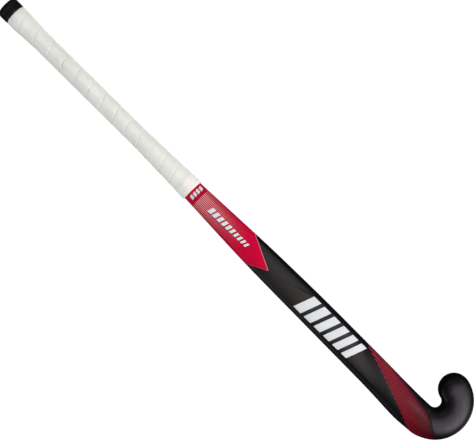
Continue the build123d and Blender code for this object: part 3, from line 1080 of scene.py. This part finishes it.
def tape_lift(base, turn):
    """Outside of the tape off the handle, with its lapped turns and small crumples."""
    lap = ((base - TAPE_BOTTOM) / TAPE_PITCH + turn / math.tau) % 1.0
    step = (1 - ease(0.0, 0.5, lap)) * ease(0.0, 0.06, lap)
    crumple = noise.noise(Vector((math.cos(turn) * 2.2, math.sin(turn) * 2.2, base / 2.6)))
    return SEAT + WRAP_WALL + TAPE_WALL + TAPE_LAP * step + TAPE_CRUMPLE * crumple


def finishing_band():
    """Tape wound over the wrap's lower end and stuck down on the shaft."""
    bm = bmesh.new()
    outside = SEAT + WRAP_WALL + TAPE_WALL
    low, high = TAPE_BOTTOM + TAPE_EVEN[0], TAPE_TOP - TAPE_EVEN[1]
    levels = [(TAPE_BOTTOM, HANDLE_GAP)]
    levels += [(TAPE_BOTTOM + rise, outside - inset) for rise, inset in TAPE_LOWER_EDGE]
    levels += [(low + (high - low) * i / TAPE_ROWS, None) for i in range(TAPE_ROWS + 1)]
    levels += [(TAPE_TOP - drop, outside - inset) for drop, inset in TAPE_UPPER_EDGE]
    rows = []
    for base, fixed in levels:
        row = []
        for turn in turns(False):
            sway = TAPE_EDGE_SWAY * math.sin(turn)
            if base >= low:
                sway = TAPE_SWAY * math.sin(turn + TAPE_SWAY_TURN)
            lift = tape_lift(base, turn) if fixed is None else fixed
            row.append(shaft_point(base + sway, lift, turn))
        rows.append(row)
    add_grid(bm, rows + rows[:1])
    weld(bm)
    finish_piece(bm, "finishing_band", cloth_tape(), "cloth_tape", "finishing_tape")


# Sheet left beyond an outline, before it is cut to it
PANEL_SPARE = 3.0
EDGE_SPARE = 5.0
MARK_SPARE = 4.0
UNDER_TAPE = 0.6  # how far the label runs under the tape
EDGING_RISE = 0.9  # how far the pale line reaches above the panel's edge,
EDGING_DROP = 1.5  # and below it


def label_print():
    """Plain deep red band below the tape."""
    bm = skin(LABEL_BOTTOM, TAPE_BOTTOM + UNDER_TAPE, FIRST_PRINT)
    finish_film(bm, "label_print", printed("label_red", label_red, 0.06), "red_film", "label_film")


def panel_prints():
    """Red panel all round the shaft down to its point, the pale line along its edge with its painted
    highlight, and its pinstripes.
    """
    places = (-EDGE_X, PANEL_TIP[0], EDGE_X)
    edging = [(x, panel_edge(x) + EDGING_RISE) for x in places]
    edging += [(x, panel_edge(x) - EDGING_DROP) for x in reversed(places)]
    pinstripes = []
    foot = PINSTRIPE_BOTTOM
    for i in range(PINSTRIPE_COUNT):
        x = PINSTRIPE_X + PINSTRIPE_PITCH * i
        right = x + PINSTRIPE_WIDTH
        pinstripes.append([(x, foot), (x, LABEL_BOTTOM), (right, LABEL_BOTTOM), (right, foot)])
    panel, tip = panel_outline(), PANEL_TIP[1]
    panel_low, edge_low = tip - PANEL_SPARE, tip - EDGE_SPARE
    for name, low, lift, shapes, colour, shine, slot, nodes in (
        ("panel_print", panel_low, FIRST_PRINT, [panel], panel_red, 0.07, "red_film", ("panel_film",)),
        ("panel_edging", edge_low, SECOND_PRINT, [edging], edge_line_and_highlight, 0.12, "silver_film", ()),
        ("panel_pinstripes", foot, SECOND_PRINT, pinstripes, pinstripe_pink, 0.07, "silver_film", ()),
    ):
        material = printed(colour.__name__, colour, shine)
        film(name, low, LABEL_BOTTOM, lift, shapes, material, slot, *nodes, back_only=False)


CREASE_TOP = (-6.5, 370.0)
CREASE_BOTTOM = (15.8, 299.0)
CREASE_WIDTH = 2.2
CREASE_DROP = 6.6  # its width measured along the stick
FACET_RISE = 50.0  # height above the panel's tip that both facets stay below
FACET_FOOT_GAP = 4.0  # between the lower facet and the stripes


def facet_prints():
    """Dark band on the back, in two facets with a narrow crease between them."""
    low, high = stripe_start(FACET_HEEL_X) - EDGE_SPARE, PANEL_TIP[1] + FACET_RISE
    crease_left = CREASE_TOP[0] - CREASE_WIDTH
    toe_side = [
        CREASE_TOP,
        (FACET_TOE_X, panel_edge(FACET_TOE_X) - FILM_GAP),
        (FACET_TOE_X, CREASE_BOTTOM[1]),
    ]
    heel_side = [
        (FACET_HEEL_X, panel_edge(FACET_HEEL_X) - FILM_GAP),
        (crease_left, panel_edge(crease_left) - FILM_GAP),
        (FACET_TOE_X, CREASE_BOTTOM[1] - CREASE_DROP),
        *stripe_edge(FACET_HEEL_X, FACET_TOE_X, above=FACET_FOOT_GAP),
    ]
    for name, outline, colour, shine, nodes in (
        ("toe_facet", toe_side, toe_facet, 0.35, ()),
        ("heel_facet", heel_side, heel_facet, 0.28, ("facet_film",)),
    ):
        film(name, low, high, FIRST_PRINT, [outline], printed(name, colour, shine), "dark_film", *nodes)


LINE_PITCH = 2.94
LINE_WIDTH = LINE_PITCH / 2
LINE_START_X = -32.35
LINE_COUNT = 19


def stripe_prints():
    """Dark red film that runs down into the head, and the light lines on it."""
    low, high = BEND_OUTER, stripe_start(EDGE_X) + MARK_SPARE
    bm = skin(low, high, FIRST_PRINT, back_only=True, bend=STRIPE_BEND)
    keep_inside(bm, [stripe_outline()])
    ground = printed("stripe_dark", stripe_dark, 0.12)
    finish_film(bm, "stripe_ground", ground, "stripe_film", "stripe_film")

    bm = skin(low, high, SECOND_PRINT, back_only=True, bend=STRIPE_BEND)
    keep_inside(bm, [stripe_outline()])
    for i in range(2 * LINE_COUNT):
        x = (LINE_START_X + LINE_WIDTH * i) * MM
        score(bm, (x, 0.0), (x, 1.0))
    waste = []
    for face in bm.faces:
        place = (face.calc_center_median().x / MM - LINE_START_X) % LINE_PITCH
        if place > LINE_WIDTH:
            waste.append(face)
    bmesh.ops.delete(bm, geom=waste, context="FACES")
    finish_film(bm, "stripe_lines", printed("stripe_light", stripe_light, 0.12), "stripe_film")


EMBLEM_BORDER = 1.0


def emblem_prints():
    """Bold slanted bars with a thin dark outline."""
    outlines = bars(**EMBLEM)
    heights = [height for outline in outlines for _, height in outline]
    low, high = min(heights) - MARK_SPARE, max(heights) + MARK_SPARE
    wider = [grown(outline, EMBLEM_BORDER) for outline in outlines]
    film("emblem_outline", low, high, SECOND_PRINT, wider, printed("dark_ink", dark_ink), "dark_film")
    pale = printed("emblem_silver", silver)
    film("emblem_bars", low, high, THIRD_PRINT, outlines, pale, "silver_film", "emblem_film")


SHADOW_SHIFT = (-0.8, -0.9)  # across and along, from a mark to its darker one
MARK_CEILING = TAPE_BOTTOM - 1.0


def mark_prints():
    """Small bars on the panel and the label, each over a soft darker one."""
    marks = small_marks()
    low = min(height for outline in marks for _, height in outline) - MARK_SPARE
    shadows = [moved(outline, *SHADOW_SHIFT) for outline in marks]
    deep = printed("shadow_ink", shadow_ink, 0.12)
    film("mark_shadows", low, MARK_CEILING, SHADOW_PRINT, shadows, deep, "red_film")
    pale = printed("mark_silver", silver)
    film("mark_bars", low, MARK_CEILING, THIRD_PRINT, marks, pale, "silver_film", "mark_film")


LINER_NODES = ["glass_liner", "centre_web"]
FOAM_NODES = ["heel_side_core", "toe_side_core"]


def inner_materials():
    """Materials for the CAD nodes that stay as they are, inside the stick."""
    for name, low, high, roughness, scale, relief, nodes in (
        ("cork_rubber", (0.16, 0.09, 0.05), (0.34, 0.22, 0.13), 0.8, 420.0, 0.0002, ["butt_plug"]),
        ("adhesive_foam", (0.62, 0.58, 0.46), (0.76, 0.73, 0.62), 0.75, 700.0, 0.0001, ["grip_underlay"]),
        ("aramid_laminate", (0.50, 0.36, 0.08), (0.66, 0.50, 0.16), 0.5, 300.0, 0.0001, ["head_wrap"]),
        ("head_filler", (0.20, 0.17, 0.13), (0.30, 0.26, 0.20), 0.7, 260.0, 0.0001, ["head_core"]),
        ("glass_laminate", (0.40, 0.46, 0.36), (0.56, 0.62, 0.50), 0.4, 350.0, 0.00005, LINER_NODES),
        ("structural_foam", (0.70, 0.62, 0.40), (0.82, 0.76, 0.55), 0.9, 900.0, 0.0002, FOAM_NODES),
    ):
        material = mottled(name, low, high, roughness, scale, relief)
        for node in nodes:
            slots = frame["nodes"][node].data.materials
            slots.clear()
            slots.append(material)


# ---- studio
ROLL = math.radians(45.32)
LOOK_UP = math.radians(1.9)
SIDE = Vector((1, 0, 0))
UP = Vector((0, -math.sin(LOOK_UP), math.cos(LOOK_UP)))
TOWARDS_CAMERA = Vector((0, -math.cos(LOOK_UP), -math.sin(LOOK_UP)))
IMAGE_RIGHT = SIDE * math.cos(ROLL) - UP * math.sin(ROLL)
IMAGE_UP = SIDE * math.sin(ROLL) + UP * math.cos(ROLL)
AIM = Vector((0.0144, 0.0, -0.2877))
LIT_PLACE = Vector((0.0144, 0.0, -0.289))  # towards which the lights face
CAMERA_DISTANCE = 2.5
LENS = 128.3
LIGHT_DISTANCE = 2.4


def camera():
    """Camera a little below the stick's middle, looking up at its back and rolled to lay it slantwise."""
    data = bpy.data.cameras.new("camera")
    data.sensor_width = 36.0
    data.lens = LENS
    data.clip_end = 50.0
    item = bpy.data.objects.new("camera", data)
    place = AIM + TOWARDS_CAMERA * CAMERA_DISTANCE
    item.matrix_world = Matrix(
        [[*row] for row in zip((*IMAGE_RIGHT, 0), (*IMAGE_UP, 0), (*TOWARDS_CAMERA, 0), (*place, 1))]
    )
    bpy.context.scene.collection.objects.link(item)
    bpy.context.scene.camera = item


def softbox(name, direction, size, power, glossy=True, diffuse=True):
    """Square area light in a direction from the middle of the stick, facing it."""
    data = bpy.data.lights.new(name, "AREA")
    data.shape = "SQUARE"
    data.size = size
    data.energy = power
    item = bpy.data.objects.new(name, data)
    away = Vector(direction).normalized()
    item.location = LIT_PLACE + away * LIGHT_DISTANCE
    item.rotation_mode = "QUATERNION"
    item.rotation_quaternion = (-away).to_track_quat("-Z", "Y")
    item.visible_camera = False
    item.visible_glossy = glossy
    item.visible_diffuse = diffuse
    bpy.context.scene.collection.objects.link(item)


def lights():
    """Soft lights: the lacquer doesn't mirror the wide ones, and it alone shows the two shines."""
    softbox("foot_high", (0.05, -0.81, -0.59), 1.0, 4.5)
    softbox("foot_middle", (0.05, -0.64, -0.77), 1.2, 17.0)
    softbox("foot_low", (0.05, -0.42, -0.9), 1.2, 5.4)
    softbox("foot_right", (0.5, -0.5, -0.7), 1.2, 6.0)
    softbox("toe_shine", (0.2, -0.94, 0.22), 0.5, 1.3, diffuse=False)
    softbox("head_shine", (0.05, -0.93, -0.36), 0.5, 1.0, diffuse=False)
    softbox("edge_left", (-0.95, -0.25, 0.0), 1.4, 5.5)
    softbox("edge_right", (0.75, -0.65, -0.15), 1.4, 1.0)
    softbox("wide_right", (0.75, -0.65, -0.15), 1.4, 49.5, glossy=False)
    softbox("wide_front", (-0.75, -0.65, 0.0), 1.4, 10.0, glossy=False)
    softbox("wide_left", (-0.95, -0.25, 0.0), 1.4, 25.0, glossy=False)
    softbox("back_wide", (0.3, 0.8, 0.5), 1.6, 60.0, glossy=False)
    softbox("back_foot", (0.1, 0.6, -0.8), 1.2, 6.0)


WORLD_SEEN = 1.04
WORLD_DIFFUSE = 0.12
WORLD_GLOSSY = 0.02
FLOOR_GLOW = 1.05
FLOOR_HALF = 30.0
FLOOR_HEIGHT = -5.0


def world():
    """White to the camera, dim as a light, and dimmer still in the lacquer."""
    scene_world = bpy.data.worlds.new("studio")
    bpy.context.scene.world = scene_world
    scene_world.use_nodes = True
    tree = scene_world.node_tree
    path = add_node(tree, "LightPath")
    seen = maths(tree, "MULTIPLY", path.outputs["Is Camera Ray"], WORLD_SEEN - WORLD_DIFFUSE)
    shine = maths(tree, "MULTIPLY", path.outputs["Is Glossy Ray"], WORLD_GLOSSY - WORLD_DIFFUSE)
    strength = maths(tree, "ADD", maths(tree, "ADD", seen, shine), WORLD_DIFFUSE)
    fill(tree, tree.nodes["Background"], Color=(1, 1, 1, 1), Strength=strength)


def floor():
    """Plain pale floor well below the head."""
    bm = bmesh.new()
    bmesh.ops.create_grid(bm, x_segments=1, y_segments=1, size=FLOOR_HALF)
    mesh = bpy.data.meshes.new("floor")
    bm.to_mesh(mesh)
    bm.free()
    material, tree, shader = new_material("floor", Roughness=0.9, Specular_IOR_Level=0.1)
    fill(tree, shader, Base_Color=(*grey(0.95), 1))
    fill(tree, shader, Emission_Color=(1, 1, 1, 1), Emission_Strength=FLOOR_GLOW)
    mesh.materials.append(material)
    item = bpy.data.objects.new("floor", mesh)
    item.location = (0, 0, FLOOR_HEIGHT)
    item.visible_diffuse = False
    item.visible_glossy = False
    bpy.context.scene.collection.objects.link(item)


stick_body()
end_cap()
grip_spiral()
finishing_band()
label_print()
panel_prints()
facet_prints()
stripe_prints()
emblem_prints()
mark_prints()
inner_materials()
camera()
lights()
world()
floor()
bpy.context.scene.view_settings.view_transform = "Standard"
